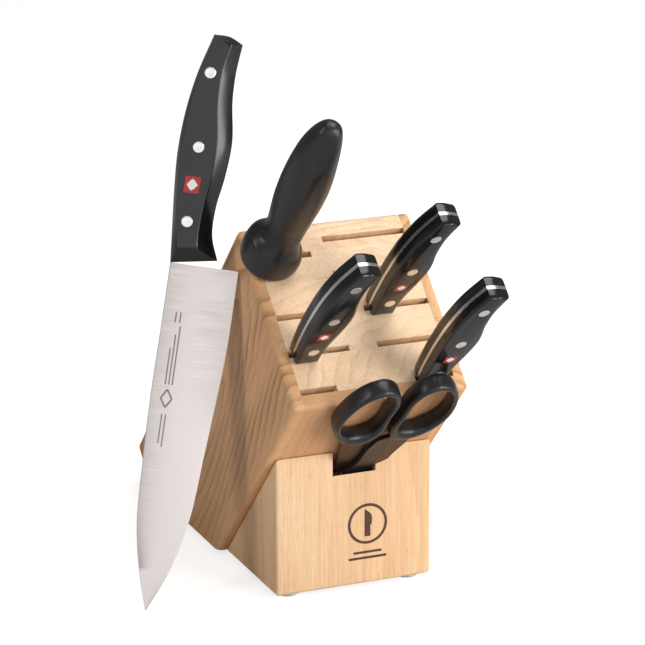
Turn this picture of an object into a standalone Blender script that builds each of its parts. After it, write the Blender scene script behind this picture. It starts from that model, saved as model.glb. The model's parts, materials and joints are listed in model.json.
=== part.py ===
"""Knife block with knives: a slanted slab of glued boards on a wedge base, four knives, a honing
steel and kitchen shears. Every separate piece is its own object. Metres, +Z up, front towards -Y."""

import math

import bmesh
import bpy
from mathutils import Matrix, Vector

GAP = 0.0003  # left between pieces that touch

# Slanted slab: the boards run along its length, and the slot face is square to them.
SLAB_ANGLE = math.radians(45.5)
SLAB_WIDTH = 0.1075
SLAB_DEPTH = 0.119
SLAB_LENGTH = 0.261
SLAB_OVERHANG = 0.058
CHEEK_WIDTH = 0.0069
CHEEK_ROUNDING = 0.003
FLOOR_GAP = 0.003

# Wedge base, which the slab leans on, with the shears' groove down its slope.
BASE_WIDTH = 0.0976
BASE_HEIGHT = 0.0879
BASE_FRONT = -0.0176
GROOVE_WIDTH = 0.027
GROOVE_DEPTH = 0.011
BASE_FOOT_RADIUS = 0.007
BASE_FEET_X = 0.038
BASE_FEET_Y = (("front", BASE_FRONT + 0.010), ("rear", 0.165))
BASE_FOOT_STEPS = ((1.0, 0.0014), (0.83, 0.0004), (0.64, 0.0), (0.0, 0.0))

# Knife slots: six rows, by their distance from the slab's back face and their thickness.
ROWS = ((0.01235, 0.0037), (0.0211, 0.0037), (0.0361, 0.0046), (0.0601, 0.0037), (0.0841, 0.0037),
        (0.10835, 0.0037))
INNER = SLAB_WIDTH / 2 - CHEEK_WIDTH
BOARD_EDGE = INNER - GAP
SPACERS = ((-BOARD_EDGE, -0.0052), (-0.0139, BOARD_EDGE), (-BOARD_EDGE, -0.0052), (-0.0094, 0.0063),
           (-0.0094, 0.0070), (-0.0242, 0.0229))
STEEL_CHANNEL_RIGHT = -0.0350
STEEL_CHANNEL_FRONT = 0.0284

# Honing steel.
STEEL_X = -0.0412
STEEL_DEPTH = 0.0214
ROD_RADIUS = 0.005
ROD_LENGTH = 0.225
STEEL_PROFILE = ((0.0, 0.137), (0.005, 0.134), (0.0082, 0.127), (0.0104, 0.117), (0.0126, 0.104),
                 (0.0138, 0.090), (0.0138, 0.078), (0.0129, 0.064), (0.0111, 0.050), (0.0098, 0.038),
                 (0.0097, 0.031), (0.0110, 0.0255), (0.0142, 0.0195), (0.0166, 0.014), (0.0175, 0.009),
                 (0.0172, 0.005), (0.0150, 0.0015), (0.0130, 0.0005))
STEEL_BORE_DEPTH = 0.026
ROD_TIP = 0.003
ROD_TIP_SHARE = 0.6

# Handles: outlines in the blade's plane, x towards the cutting edge and y towards the butt, from the
# bottom of the spine round the butt to the bottom of the belly. True marks a corner.
TANG_THICKNESS = 0.002
RIVET_RADIUS = 0.0032
SMALL_HANDLE_THICKNESS = 0.0145
CHEF_HANDLE_THICKNESS = 0.0175
SMALL_HANDLE = ((-0.0008, 0.0, True), (-0.0017, 0.018, False), (-0.0018, 0.040, False),
                (0.0, 0.063, False), (0.0042, 0.0815, False), (0.0102, 0.0963, True),
                (0.0160, 0.0955, False), (0.0229, 0.0929, True), (0.0195, 0.0795, False),
                (0.0188, 0.065, False), (0.0203, 0.0475, False), (0.0178, 0.033, False),
                (0.0142, 0.019, False), (0.0129, 0.006, False), (0.0128, 0.0, True))
SMALL_RIVETS = ((0.0060, 0.0136), (0.0088, 0.0468), (0.0116, 0.0805))
SMALL_CHAMFER = 0.003
CHEF_CHAMFER = 0.0045
CHEF_HANDLE = ((-0.0137, 0.2005, True), (-0.0156, 0.222, False), (-0.0174, 0.243, False),
               (-0.0184, 0.262, False), (-0.0174, 0.284, False), (-0.0139, 0.307, False),
               (-0.0069, 0.3324, True), (0.0020, 0.3322, False), (0.0098, 0.3287, True),
               (0.0082, 0.311, False), (0.0084, 0.298, False), (0.0117, 0.272, False),
               (0.0103, 0.252, False), (0.0076, 0.234, False), (0.0080, 0.218, False),
               (0.0128, 0.2050, True))
CHEF_RIVETS = ((-0.0081, 0.225), (-0.0075, 0.2677), (-0.0068, 0.3103))
CHEF_BLADE = ((0.0257, 0.2007, True), (0.0253, 0.153, False), (0.0230, 0.118, False),
              (0.0210, 0.092, False), (0.0177, 0.054, False), (0.0083, 0.018, False),
              (0.0, 0.0, True), (-0.0055, 0.018, False), (-0.0111, 0.0445, False),
              (-0.0135, 0.085, False), (-0.0143, 0.121, False), (-0.0139, 0.165, False))

# Knives that stand in the slots: row, where the spine is across the slab, blade length and height, and
# how far each one has settled over in its slot, across it and towards its front wall.
SLOTTED_KNIVES = {"prep_knife": (4, -0.0439, 0.140, 0.026, 0.3, 0.4),
                  "utility_knife": (3, 0.0101, 0.130, 0.024, -0.9, -0.3),
                  "paring_knife": (5, 0.0251, 0.100, 0.018, 0.7, 0.0)}
HANDLE_LIFT = 0.0008
# Their blades' outline: (share of the height, share of the length) along the curved edge, to the tip.
SLOT_EDGE = ((1.0, 0.45, False), (0.86, 0.75, False), (0.35, 1.0, True))
SLOT_SPINE = ((0.0008, 0.86, False), (0.0002, 0.6, False))
HEEL = 0.004
RICASSO = 0.003

# Chef's knife, which stands on its tip and leans on the slab's left cheek.
CHEF_TIP = Vector((-0.1240, -0.0017, 0.0006))
CHEF_ALONG = Vector((0.226, 0.162, 0.961))
CHEF_FACE = Vector((-0.274, -0.936, 0.222))

# Kitchen shears, in a frame on the pivot: x across, y towards the loops, z out of the plates.
SHEARS_PIVOT = 0.088
SHEARS_X = 0.0021
SHEARS_TILT = math.radians(3.0)
SHEARS_HEIGHT = 0.006
PLATE_THICKNESS = 0.0024
LOOP_THICKNESS = 0.0108
PIVOT_RADIUS = 0.0022
SHEAR_PLATE = ((0.0005, -0.077, True), (0.0050, -0.060, False), (0.0082, -0.035, False),
               (0.0094, -0.010, False), (0.0088, 0.004, False), (0.0072, 0.014, False),
               (0.0042, 0.0205, False), (-0.0002, 0.029, False), (-0.0033, 0.038, False),
               (-0.0048, 0.046, False), (-0.0070, 0.052, True),
               (-0.0070, 0.060, True), (-0.0130, 0.060, True), (-0.0130, 0.052, True),
               (-0.0128, 0.043, False), (-0.0092, 0.028, False), (-0.0084, 0.012, False),
               (-0.0080, -0.002, False), (-0.0015, -0.013, True))
LOOP_OUTER = ((-0.0030, 0.0640, False), (-0.0030, 0.0840, False), (-0.0040, 0.1035, False),
              (-0.0085, 0.1118, False), (-0.0160, 0.1155, False), (-0.0240, 0.1130, False),
              (-0.0310, 0.1050, False), (-0.0350, 0.0935, False), (-0.0360, 0.0810, False),
              (-0.0336, 0.0700, False), (-0.0276, 0.0600, False), (-0.0200, 0.0545, False),
              (-0.0120, 0.0540, False), (-0.0060, 0.0575, False))
LOOP_HOLE = ((-0.0070, 0.0700, False), (-0.0068, 0.0850, False), (-0.0076, 0.1015, False),
             (-0.0108, 0.1078, False), (-0.0164, 0.1112, False), (-0.0224, 0.1090, False),
             (-0.0280, 0.1018, False), (-0.0312, 0.0920, False), (-0.0322, 0.0818, False),
             (-0.0302, 0.0728, False), (-0.0254, 0.0658, False), (-0.0195, 0.0625, False),
             (-0.0132, 0.0628, False), (-0.0088, 0.0652, False))
TANG_POCKET = ((-0.0130, 0.045), (-0.0070, 0.0603))
SCREW_HEAD = ((0.0, 0.0016), (0.0036, 0.0016), (0.0048, 0.0))
SCREW_END = 0.0010
NUT_RADIUS = 0.0042
NUT_THICKNESS = 0.0012


def clear_scene():
    for old in list(bpy.data.objects):
        bpy.data.objects.remove(old, do_unlink=True)


def new_collection(name):
    collection = bpy.data.collections.new(name)
    bpy.context.scene.collection.children.link(collection)
    return collection


def material(name, colour, roughness, metallic=0.0):
    made = bpy.data.materials.new(name)
    made.use_nodes = True
    shader = made.node_tree.nodes["Principled BSDF"]
    shader.inputs["Base Color"].default_value = (*colour, 1.0)
    shader.inputs["Roughness"].default_value = roughness
    shader.inputs["Metallic"].default_value = metallic
    return made


clear_scene()
PARTS = new_collection("knife_block_set")
CUTTERS = new_collection("knife_block_cutters")
WOOD = material("rubberwood", (0.66, 0.42, 0.22), 0.55)
BLACK = material("black_handle_plastic", (0.012, 0.012, 0.013), 0.22)
BLADE = material("polished_blade_steel", (0.80, 0.80, 0.79), 0.20, 1.0)
RIVET = material("rivet_steel", (0.86, 0.85, 0.83), 0.25, 1.0)
RUBBER = material("foot_rubber", (0.45, 0.46, 0.45), 0.60)


def add_frame(name, location, rotation, parent):
    """An empty that a group of pieces is placed in."""
    frame = bpy.data.objects.new(name, None)
    PARTS.objects.link(frame)
    frame.parent = parent
    frame.matrix_local = Matrix.Translation(location) @ rotation.to_4x4()
    return frame


def place(piece, name, look, frame, location=(0, 0, 0), rotation=(0, 0, 0)):
    """Gives a finished piece its name, material and place in its frame."""
    for collection in list(piece.users_collection):
        collection.objects.unlink(piece)
    PARTS.objects.link(piece)
    piece.name = name
    piece.data.name = name
    piece.data.materials.clear()
    piece.data.materials.append(look)
    piece.parent = frame
    piece.location = location
    piece.rotation_euler = rotation
    return piece


def smooth_round(piece):
    piece.data.shade_smooth()
    piece.data.set_sharp_from_angle(angle=math.radians(35))


def make_cutter(piece):
    for collection in list(piece.users_collection):
        collection.objects.unlink(piece)
    CUTTERS.objects.link(piece)
    piece.hide_render = True
    piece.display_type = "WIRE"
    return piece


def cut(piece, cutter):
    boolean = piece.modifiers.new(cutter.name, "BOOLEAN")
    boolean.operation = "DIFFERENCE"
    boolean.solver = "EXACT"
    boolean.object = cutter


def box(low, high):
    """A box mesh between two corners, its vertices already in place."""
    bpy.ops.mesh.primitive_cube_add(size=1.0)
    piece = bpy.context.object
    size = Matrix.Diagonal([high[i] - low[i] for i in range(3)] + [1.0])
    centre = Matrix.Translation([(low[i] + high[i]) / 2 for i in range(3)])
    piece.data.transform(centre @ size)
    return piece


def round_edges(piece, width, chosen, segments=2):
    """Bevels the edges whose two ends both pass the test."""
    mesh = piece.data
    weights = mesh.attributes.new("bevel_weight_edge", "FLOAT", "EDGE")
    for edge in mesh.edges:
        ends = [mesh.vertices[i].co for i in edge.vertices]
        weights.data[edge.index].value = float(all(chosen(end) for end in ends))
    bevel = piece.modifiers.new("round_edges", "BEVEL")
    bevel.limit_method = "WEIGHT"
    bevel.width = width
    bevel.segments = segments


def spline_of(curve, outline, detail):
    """Adds a closed spline through the outline's points, smooth except at its corners."""
    spline = curve.splines.new("BEZIER")
    spline.bezier_points.add(len(outline) - 1)
    spline.use_cyclic_u = True
    spline.resolution_u = detail
    for point, (x, y, corner) in zip(spline.bezier_points, outline):
        point.co = (x, y, 0)
        kind = "VECTOR" if corner else "AUTO"
        point.handle_left_type = kind
        point.handle_right_type = kind


def circle(centre, radius, sides=16):
    turns = [2 * math.pi * i / sides for i in range(sides)]
    return [(centre[0] + radius * math.cos(a), centre[1] + radius * math.sin(a)) for a in turns]


def plate(outline, thickness, holes=(), detail=3, inner=()):
    """A flat piece: a filled outline with round holes and inner outlines, centred on its thickness."""
    curve = bpy.data.curves.new("outline", "CURVE")
    curve.dimensions = "2D"
    curve.fill_mode = "BOTH"
    curve.extrude = thickness / 2
    spline_of(curve, outline, detail)
    for hole in inner:
        spline_of(curve, hole, detail)
    for centre, radius in holes:
        spline = curve.splines.new("POLY")
        ring = circle(centre, radius)
        spline.points.add(len(ring) - 1)
        spline.use_cyclic_u = True
        for point, (x, y) in zip(spline.points, ring):
            point.co = (x, y, 0, 1)
    guide = bpy.data.objects.new("outline", curve)
    PARTS.objects.link(guide)
    bpy.context.view_layer.update()
    graph = bpy.context.evaluated_depsgraph_get()
    mesh = bpy.data.meshes.new_from_object(guide.evaluated_get(graph))
    bpy.data.objects.remove(guide)
    welded = bmesh.new()
    welded.from_mesh(mesh)
    bmesh.ops.remove_doubles(welded, verts=welded.verts, dist=1e-6)
    bmesh.ops.recalc_face_normals(welded, faces=welded.faces)
    welded.to_mesh(mesh)
    welded.free()
    piece = bpy.data.objects.new("plate", mesh)
    PARTS.objects.link(piece)
    return piece


def turned(profile, steps=24):
    """A turned piece about its own Z, from a profile of (radius, height) from the top down."""
    mesh = bpy.data.meshes.new("profile")
    points = [(radius, 0, height) for radius, height in profile]
    mesh.from_pydata(points, [(i, i + 1) for i in range(len(points) - 1)], [])
    piece = bpy.data.objects.new("turned", mesh)
    PARTS.objects.link(piece)
    screw = piece.modifiers.new("turn", "SCREW")
    screw.steps = steps
    screw.render_steps = steps
    screw.use_merge_vertices = True
    screw.merge_threshold = 0.00005
    screw.use_smooth_shade = True
    return piece


def slab_board(name, left, right, back, front, frame, floor, outer=0):
    """A board of the slab, x from left to right and z from back to front, cut level at the floor."""
    piece = box((left, -SLAB_LENGTH, back), (right, 0, front))
    if outer:
        side = outer * SLAB_WIDTH / 2
        round_edges(piece, CHEEK_ROUNDING, lambda end: abs(end.x - side) < 1e-5)
    cut(piece, floor)
    place(piece, name, WOOD, frame)


def row_limits(row):
    middle, thickness = ROWS[row]
    return middle - thickness / 2, middle + thickness / 2


def build_slab(frame, floor):
    half = SLAB_WIDTH / 2
    channel = STEEL_CHANNEL_RIGHT + GAP
    slab_board("slab_left_cheek", -half, -INNER, 0, SLAB_DEPTH, frame, floor, outer=-1)
    slab_board("slab_right_cheek", INNER, half, 0, SLAB_DEPTH, frame, floor, outer=1)
    tops = [row_limits(row)[0] for row in range(len(ROWS))] + [SLAB_DEPTH]
    bottoms = [0.0] + [row_limits(row)[1] for row in range(len(ROWS))]
    names = ["slab_back_board"] + [f"slab_board_{i}" for i in range(2, 7)] + ["slab_front_board"]
    for layer, name in enumerate(names):
        left = channel if layer in (1, 2) else -BOARD_EDGE
        slab_board(name, left, BOARD_EDGE, bottoms[layer], tops[layer], frame, floor)
    for row, (left, right) in enumerate(SPACERS):
        back, front = row_limits(row)
        slab_board(f"row_{row + 1}_spacer", left, right, back + GAP, front - GAP, frame, floor)
    slab_board("steel_channel_strip", -BOARD_EDGE, STEEL_CHANNEL_RIGHT, STEEL_CHANNEL_FRONT,
               row_limits(2)[0], frame, floor)


def wedge_board(name, left, right, groove, frame):
    """A board of the base, its outline the wedge's side view: x of the outline is depth, y is height."""
    run = 1 / math.tan(SLAB_ANGLE)
    shift = (GAP + groove) / math.sin(SLAB_ANGLE)
    top = BASE_HEIGHT - shift / run
    foot = BASE_FRONT + (top - FLOOR_GAP) * run
    outline = ((BASE_FRONT, FLOOR_GAP, True), (foot, FLOOR_GAP, True), (BASE_FRONT, top, True))
    piece = plate(outline, right - left)
    place(piece, name, WOOD, frame, location=(0, 0, (left + right) / 2))


def build_base(root):
    # Outline x becomes world Y, outline y becomes world Z, and its thickness runs along world X.
    side_view = Matrix(((0, 0, 1), (1, 0, 0), (0, 1, 0)))
    frame = add_frame("base_frame", (0, 0, 0), side_view, root)
    half = BASE_WIDTH / 2
    groove = GROOVE_WIDTH / 2
    wedge_board("base_left_board", -half, -groove, 0, frame)
    wedge_board("base_centre_board", -groove + GAP, groove - GAP, GROOVE_DEPTH, frame)
    wedge_board("base_right_board", groove, half, 0, frame)


def build_feet(root):
    top = FLOOR_GAP - GAP
    profile = [(0.0, top), (BASE_FOOT_RADIUS, top)]
    profile += [(BASE_FOOT_RADIUS * share, height) for share, height in BASE_FOOT_STEPS]
    for side, x in (("left", -BASE_FEET_X), ("right", BASE_FEET_X)):
        for end, y in BASE_FEET_Y:
            place(turned(profile, 20), f"foot_{end}_{side}", RUBBER, root, location=(x, y, 0))


def chamfer_outer_face(piece, height, width, rivets):
    """Chamfers the outline of the face at this height, and leaves its rivet holes alone."""
    def on_outline(end):
        near = [math.hypot(end.x - x, end.y - y) < RIVET_RADIUS * 1.3 for x, y in rivets]
        return abs(end.z - height) < 1e-5 and not any(near)

    round_edges(piece, width, on_outline, segments=2)


def build_knife(name, blade_outline, handle, rivets, thickness, chamfer, frame):
    """A full-tang knife: the blade and tang in one plate, two scales and three through rivets."""
    holes = [(rivet, RIVET_RADIUS + GAP) for rivet in rivets]
    blade = plate(blade_outline + handle, TANG_THICKNESS, holes, detail=2)
    place(blade, f"{name}_blade", BLADE, frame)
    depth = (thickness - TANG_THICKNESS) / 2 - GAP
    for side, sign in (("front", 1), ("rear", -1)):
        scale = plate(handle, depth, holes, detail=2)
        chamfer_outer_face(scale, sign * depth / 2, chamfer, rivets)
        middle = sign * (TANG_THICKNESS / 2 + GAP + depth / 2)
        place(scale, f"{name}_scale_{side}", BLACK, frame, (0, 0, middle))
    for count, (x, y) in enumerate(rivets, 1):
        bpy.ops.mesh.primitive_cylinder_add(vertices=16, radius=RIVET_RADIUS, depth=thickness)
        rivet = place(bpy.context.object, f"{name}_rivet_{count}", RIVET, frame, (x, y, 0))
        smooth_round(rivet)


def slot_blade(length, height, base):
    """A small knife's blade below its handle, with a straight spine and a curved edge to the tip."""
    edge = tuple((height * share, -length * reach, corner) for share, reach, corner in SLOT_EDGE)
    spine = tuple((x, -length * reach, corner) for x, reach, corner in SLOT_SPINE)
    return ((base, -RICASSO, True), (height, -HEEL, True)) + edge + spine + ((-0.0006, -HEEL, True),)


def build_slotted_knives(slab):
    for name, (row, spine, length, height, across, forward) in SLOTTED_KNIVES.items():
        leaning = Matrix.Rotation(math.radians(forward), 3, "X")
        leaning = leaning @ Matrix.Rotation(math.radians(across), 3, "Z")
        settled = math.radians(forward) * length / 2
        at = (spine, HANDLE_LIFT, ROWS[row][0] + settled)
        frame = add_frame(f"{name}_frame", at, leaning, slab)
        outline = slot_blade(length, height, SMALL_HANDLE[-1][0])
        build_knife(name, outline, SMALL_HANDLE, SMALL_RIVETS, SMALL_HANDLE_THICKNESS, SMALL_CHAMFER,
                    frame)


def build_chef_knife(root):
    along = CHEF_ALONG.normalized()
    across = along.cross(CHEF_FACE).normalized()
    face = across.cross(along)
    axes = Matrix((across, along, face)).transposed()
    frame = add_frame("chef_knife_frame", CHEF_TIP, axes, root)
    build_knife("chef_knife", CHEF_BLADE, CHEF_HANDLE, CHEF_RIVETS, CHEF_HANDLE_THICKNESS, CHEF_CHAMFER,
                frame)


def build_steel(frame):
    upright = (-math.pi / 2, 0, 0)
    place_at = (STEEL_X, 0, STEEL_DEPTH)
    bore = ROD_RADIUS + GAP
    handle = STEEL_PROFILE + ((bore, STEEL_PROFILE[-1][1]), (bore, STEEL_BORE_DEPTH), (0.0, STEEL_BORE_DEPTH))
    place(turned(handle), "honing_steel_handle", BLACK, frame, place_at, upright)
    top = STEEL_BORE_DEPTH - GAP
    rod = ((0.0, top), (ROD_RADIUS, top), (ROD_RADIUS, ROD_TIP - ROD_LENGTH),
           (ROD_RADIUS * ROD_TIP_SHARE, -ROD_LENGTH), (0.0, -ROD_LENGTH))
    place(turned(rod, 16), "honing_steel_rod", BLADE, frame, place_at, upright)


def mirrored(outline, side):
    return tuple((x * side, y, corner) for x, y, corner in outline)


def build_shears(frame):
    tilt = Matrix.Rotation(-SHEARS_TILT, 3, "Z")
    centre = (SHEARS_X, -SHEARS_PIVOT, SLAB_DEPTH + SHEARS_HEIGHT)
    pivot = add_frame("shears_pivot_frame", centre, tilt, frame)
    offset = (PLATE_THICKNESS + GAP) / 2
    for name, side in (("left", 1), ("right", -1)):
        plate_z = -side * offset
        blade = plate(mirrored(SHEAR_PLATE, side), PLATE_THICKNESS, [((0, 0), PIVOT_RADIUS + GAP)])
        place(blade, f"shears_{name}_blade", BLADE, pivot, (0, 0, plate_z))
        loop = plate(mirrored(LOOP_OUTER, side), LOOP_THICKNESS, inner=(mirrored(LOOP_HOLE, side),))
        half = PLATE_THICKNESS / 2 + GAP
        (outer, low), (inner, high) = TANG_POCKET
        left, right = sorted((outer * side - GAP * side, inner * side + GAP * side))
        pocket = make_cutter(box((left, low, plate_z - half), (right, high, plate_z + half)))
        pocket.name = f"shears_{name}_tang_pocket"
        pocket.parent = pivot
        cut(loop, pocket)
        place(loop, f"shears_{name}_loop", BLACK, pivot)
    outside = PLATE_THICKNESS + GAP * 1.5
    head = [(radius, outside + height) for radius, height in SCREW_HEAD]
    screw = head + [(PIVOT_RADIUS, outside), (PIVOT_RADIUS, -outside - SCREW_END),
                    (0.0, -outside - SCREW_END)]
    place(turned(screw, 20), "shears_pivot_screw", RIVET, pivot)
    bore = PIVOT_RADIUS + GAP
    nut = ((bore, -outside), (NUT_RADIUS, -outside), (NUT_RADIUS, -outside - NUT_THICKNESS),
           (bore, -outside - NUT_THICKNESS), (bore, -outside))
    place(turned(nut, 20), "shears_pivot_nut", RIVET, pivot)


def centre_on_footprint(root):
    """Moves everything so that the origin is under the middle of the set's bounding box, on the floor."""
    bpy.context.view_layer.update()
    graph = bpy.context.evaluated_depsgraph_get()
    corners = []
    for piece in PARTS.objects:
        if piece.type == "MESH":
            seen = piece.evaluated_get(graph)
            corners += [seen.matrix_world @ vertex.co for vertex in seen.data.vertices]
    for axis in (0, 1):
        values = [corner[axis] for corner in corners]
        root.location[axis] = -(min(values) + max(values)) / 2
    root.location.z = -min(corner.z for corner in corners)


def build():
    root = bpy.data.objects.new("block_root", None)
    PARTS.objects.link(root)
    along = Vector((0, -math.cos(SLAB_ANGLE), math.sin(SLAB_ANGLE)))
    into = Vector((0, -math.sin(SLAB_ANGLE), -math.cos(SLAB_ANGLE)))
    lip = Vector((0, BASE_FRONT, BASE_HEIGHT)) + along * SLAB_OVERHANG
    # In the slab's frame x runs across, y out of the slot face, and z from the back to the front.
    slab_axes = Matrix.Rotation(math.pi - SLAB_ANGLE, 3, "X")
    slab = add_frame("slab_frame", lip - into * SLAB_DEPTH, slab_axes, root)
    floor = make_cutter(box((-0.2, -0.3, -0.2), (0.2, 0.4, FLOOR_GAP)))
    floor.name = "level_cut"
    floor.parent = root
    build_slab(slab, floor)
    build_base(root)
    build_feet(root)
    build_slotted_knives(slab)
    build_chef_knife(root)
    build_steel(slab)
    build_shears(slab)
    centre_on_footprint(root)


build()
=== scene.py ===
"""Looks of a knife block with its knives, honing steel and kitchen shears, on a pale studio floor."""

import json
import math

import bmesh
import bpy
from mathutils import Matrix, Vector

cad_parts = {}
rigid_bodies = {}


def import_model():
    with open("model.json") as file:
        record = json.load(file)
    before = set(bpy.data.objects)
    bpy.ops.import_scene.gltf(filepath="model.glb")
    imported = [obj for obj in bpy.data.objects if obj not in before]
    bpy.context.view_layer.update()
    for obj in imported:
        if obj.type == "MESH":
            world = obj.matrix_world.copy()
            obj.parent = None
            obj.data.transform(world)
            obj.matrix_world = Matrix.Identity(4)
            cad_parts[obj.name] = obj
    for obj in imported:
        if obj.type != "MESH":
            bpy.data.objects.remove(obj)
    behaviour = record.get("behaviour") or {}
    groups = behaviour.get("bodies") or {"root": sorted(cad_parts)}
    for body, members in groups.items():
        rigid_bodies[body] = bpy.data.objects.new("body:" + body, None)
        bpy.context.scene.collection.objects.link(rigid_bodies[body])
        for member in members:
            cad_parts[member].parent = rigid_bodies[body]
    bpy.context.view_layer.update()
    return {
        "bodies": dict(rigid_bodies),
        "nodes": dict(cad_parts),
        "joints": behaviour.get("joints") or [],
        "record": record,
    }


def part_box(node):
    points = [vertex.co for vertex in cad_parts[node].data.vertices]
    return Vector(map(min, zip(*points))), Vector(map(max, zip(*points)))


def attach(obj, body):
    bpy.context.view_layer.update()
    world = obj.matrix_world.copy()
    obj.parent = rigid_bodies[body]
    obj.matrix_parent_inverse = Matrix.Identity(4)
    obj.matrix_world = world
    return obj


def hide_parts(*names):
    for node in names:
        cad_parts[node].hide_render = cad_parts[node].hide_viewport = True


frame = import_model()
JOINTS = {joint["name"]: joint for joint in frame["joints"]}
NODES = frame["nodes"]

MM = 0.001
GAP = 0.0003

# Slab frame: x across, y out of the slot face, z from the back to the front.
ALONG = Vector(JOINTS["prep_knife_slide"]["axis"]).normalized()
FRONTWARD = Vector(JOINTS["shears_left_turn"]["axis"]).normalized()
SLAB_DEPTH = 0.119
SLAB_WIDTH = 0.1075
SLAB_LENGTH = 0.261
EDGE_ROUNDING = 0.0032
GROOVE_HALF = 0.0135
GROOVE_DEPTH = 0.011
FLOOR_GAP = 0.003
BASE_ROUNDING = 0.0018
BEVEL_ANGLE = math.radians(25)
SPARE = 0.01  # how far a board's blank reaches past the slab, before the slab's envelope trims it
NEAR = 0.001  # a board that ends closer than this to the slab's front or back is an outer one
FAR = 0.5  # half the size of the blocks that cut the slab level


def matrix(x, y, z, origin):
    """A placement from its three axes and its origin."""
    turned = Matrix((x, y, z)).transposed().to_4x4()
    return Matrix.Translation(origin) @ turned


def middle_of(node):
    """The middle of a CAD node's box."""
    low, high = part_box(node)
    return (low + high) / 2


FRONT_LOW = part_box("slab_front_board")[0]
BACK_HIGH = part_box("slab_back_board")[1]
SLAB_ORIGIN = Vector((middle_of("slab_front_board").x, FRONT_LOW.y - FRONTWARD.y * SLAB_DEPTH, BACK_HIGH.z))
SLAB = matrix(Vector((1, 0, 0)), ALONG, FRONTWARD, SLAB_ORIGIN)

# Handles: outline and flat-face outline, x towards the edge and y towards the butt, in millimetres.
SMALL_OUTER = ((-0.8, 0, 1), (-1.7, 18, 0), (-1.8, 40, 0), (0.0, 63, 0), (4.2, 81.5, 0), (10.2, 96.3, 1),
               (16.4, 95.6, 0), (22.9, 92.9, 1), (19.5, 79.5, 0), (18.8, 65, 0), (20.3, 47.5, 0),
               (17.8, 33, 0), (14.2, 19, 0), (12.9, 6, 0), (12.8, 0, 1))
SMALL_FLAT = ((0.6, 3.4, 1), (-0.6, 18, 0), (-0.7, 40, 0), (1.0, 62.6, 0), (5.2, 81.0, 0), (11.5, 95.6, 1),
              (15.6, 94.9, 0), (19.6, 93.1, 1), (16.4, 79.5, 0), (15.7, 66, 0), (17.3, 47.5, 0),
              (14.9, 33, 0), (11.6, 19, 0), (10.4, 8, 0), (10.4, 3.6, 1))
SMALL_RIVETS = ((6.0, 13.6), (8.8, 46.8), (11.6, 80.5))
CHEF_OUTER = ((-13.7, 200.5, 1), (-15.6, 222, 0), (-17.4, 243, 0), (-18.4, 262, 0), (-17.4, 284, 0),
              (-13.9, 307, 0), (-6.9, 332.4, 1), (2.0, 332.2, 0), (9.8, 328.7, 1), (8.2, 311, 0),
              (8.4, 298, 0), (11.7, 272, 0), (10.3, 252, 0), (7.6, 234, 0), (8.0, 218, 0), (12.8, 205, 1))
CHEF_FLAT = ((-11.6, 209.5, 1), (-14.2, 223, 0), (-16.0, 243, 0), (-17.0, 262, 0), (-16.0, 284, 0),
             (-12.6, 306.5, 0), (-6.0, 330.6, 1), (-1.2, 329.8, 0), (3.0, 327.5, 1), (-0.4, 311, 0),
             (-0.4, 296, 0), (2.4, 271, 0), (2.0, 250, 0), (-0.6, 232, 0), (-1.3, 219, 0), (-1.6, 211, 1))
CHEF_RIVETS = ((-8.1, 225), (-7.5, 267.7), (-6.8, 310.3))
SMALL_PROFILE = ((0, 0), (0, 0.55), (0.10, 0.80), (0.35, 0.93), (0.70, 0.985), (1, 1))
CHEF_PROFILE = ((0, 0), (0, 0.10), (0.03, 0.16), (0.10, 0.24), (0.88, 0.93), (0.95, 0.985), (1, 1))
CHEF_EDGE = ((0, 0), (8.3, 18), (17.7, 54), (21.0, 92), (23.0, 118), (25.3, 153), (25.7, 200.7))
CHEF_SPINE = ((0, 0), (-5.5, 18), (-11.1, 44.5), (-13.5, 85), (-14.3, 121), (-13.9, 165), (-13.7, 200.5))
TANG_HALF = 1.0
# A blade's half section, as shares: across from the spine to the edge, and of half the thickness.
BLADE_SECTION = ((0.0, 0.86), (0.012, 1.0), (0.45, 0.94), (0.72, 0.66), (0.97, 0.16), (1.0, 0.07))
BLADE_THICKNESS = 2.0
BLADE_STEPS = 44

# Small knives: how far each leans in its slot (across, forward, in degrees), blade length and height.
SMALL_KNIVES = {"prep_knife": (0.3, 0.4, 140, 26), "utility_knife": (-0.9, -0.3, 130, 24),
                "paring_knife": (0.7, 0.0, 100, 18)}
# Their edge, as shares of the height and the length, and their spine, in millimetres and as such a share.
SMALL_EDGE = ((0.35, -1.0), (0.86, -0.75), (1.0, -0.45))
SMALL_SPINE = ((0.8, -0.86), (0.2, -0.6))
SMALL_HALF = 7.25
CHEF_HALF = 8.75
RIVET_RADIUS = 3.2
RIVET_SIDES = 40
# A rivet's turned face: share of its radius, and height over the handle's flat.
RIVET_FACE = ((0.0, 0.0), (0.55, 0.0), (0.70, 0.03), (0.95, 0.03), (1.0, -0.02), (1.0, -0.4))
RIVET_PROUD = 0.04
SMALL_BADGE = ((3.9, 34.2), (11.2, 33.4), (10.9, 27.3), (3.7, 27.2))
CHEF_BADGE = ((-12.4, 250.6), (-3.6, 250.9), (-3.8, 241.5), (-12.6, 241.2))
# The lozenge on a badge, as shares of the badge's two half sides.
BADGE_SHAPE = ((0.0, 0.72), (0.5, 0.30), (0.72, 0.0), (0.5, -0.30), (0.0, -0.72), (-0.5, -0.30), (-0.72, 0.0),
               (-0.5, 0.30))
CHEF_ALONG = Vector((0.226, 0.162, 0.961)).normalized()
CHEF_FACE = Vector((-0.274, -0.936, 0.222))

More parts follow.
